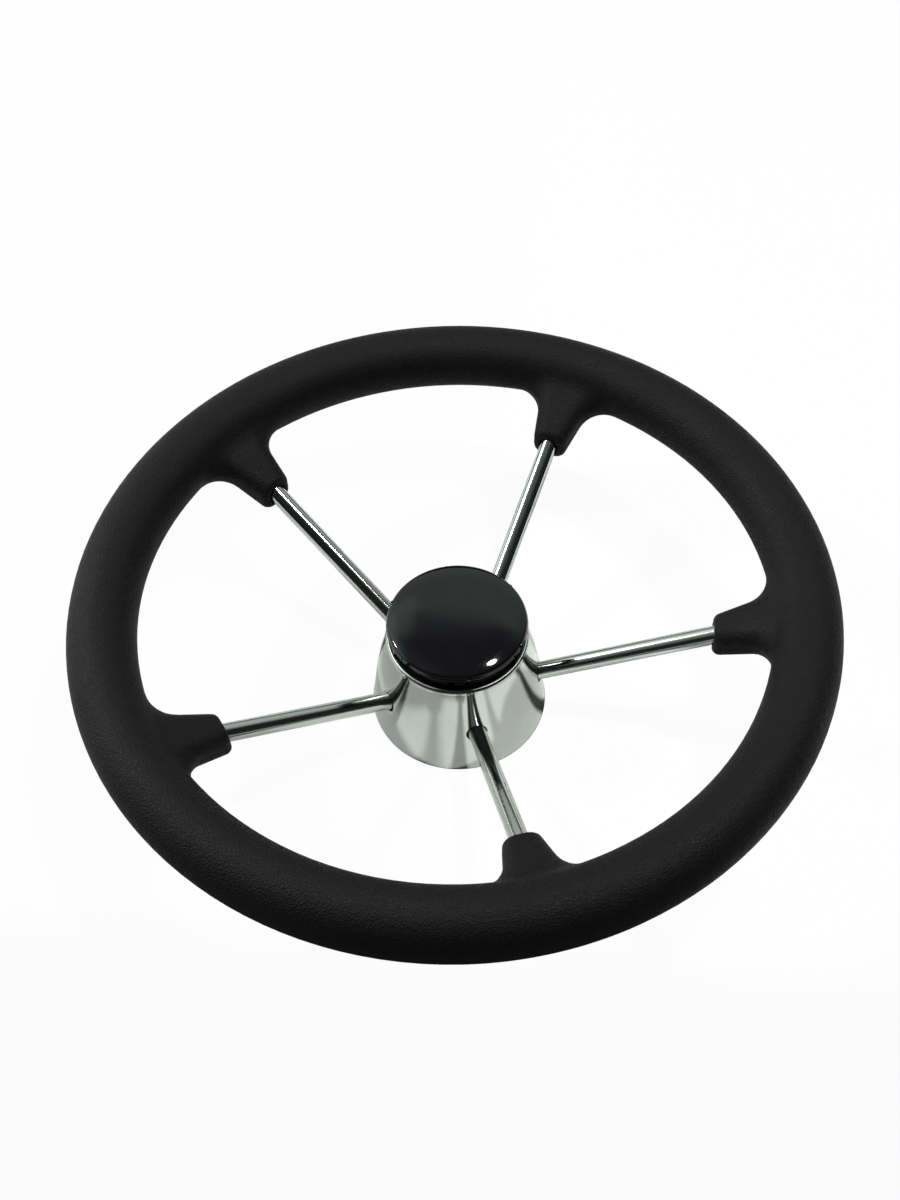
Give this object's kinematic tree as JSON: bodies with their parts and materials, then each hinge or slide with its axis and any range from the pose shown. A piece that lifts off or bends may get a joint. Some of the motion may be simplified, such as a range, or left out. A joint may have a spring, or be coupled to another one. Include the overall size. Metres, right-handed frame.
{
  "type": "boat steering wheel",
  "caption": "Dished steering wheel: polished spokes join a moulded foam rim to a bell-shaped hub with a push-in cap over its tapered shaft bore.",
  "frame": {"origin": "centre of the hub's open base, on the wheel's turning axis", "axes": "+Z along the turning axis, out of the centre cap; +X along the first spoke"},
  "size_m": [0.343, 0.343, 0.0953],
  "materials": {
    "foam": "matte moulded polyurethane foam with a fine pebbled skin",
    "polished_stainless": "mirror-polished stainless steel",
    "stainless": "turned and welded stainless steel",
    "black_plastic": "gloss black moulded plastic"
  },
  "bodies": {
    "wheel": {"foam_grip": "foam", "rim_ring": "stainless", "spoke_1": "polished_stainless", "spoke_2": "polished_stainless", "spoke_3": "polished_stainless", "spoke_4": "polished_stainless", "spoke_5": "polished_stainless", "hub_shell": "polished_stainless", "hub_plate": "stainless", "hub_boss": "stainless", "shaft_nut": "stainless"},
    "cap": {"centre_cap": "black_plastic"}
  },
  "joints": [
    {"name": "cap_pull", "type": "slide", "parent": "wheel", "child": "cap", "axis": [0, 0, 1], "range_m": [0, 0.06]}
  ]
}
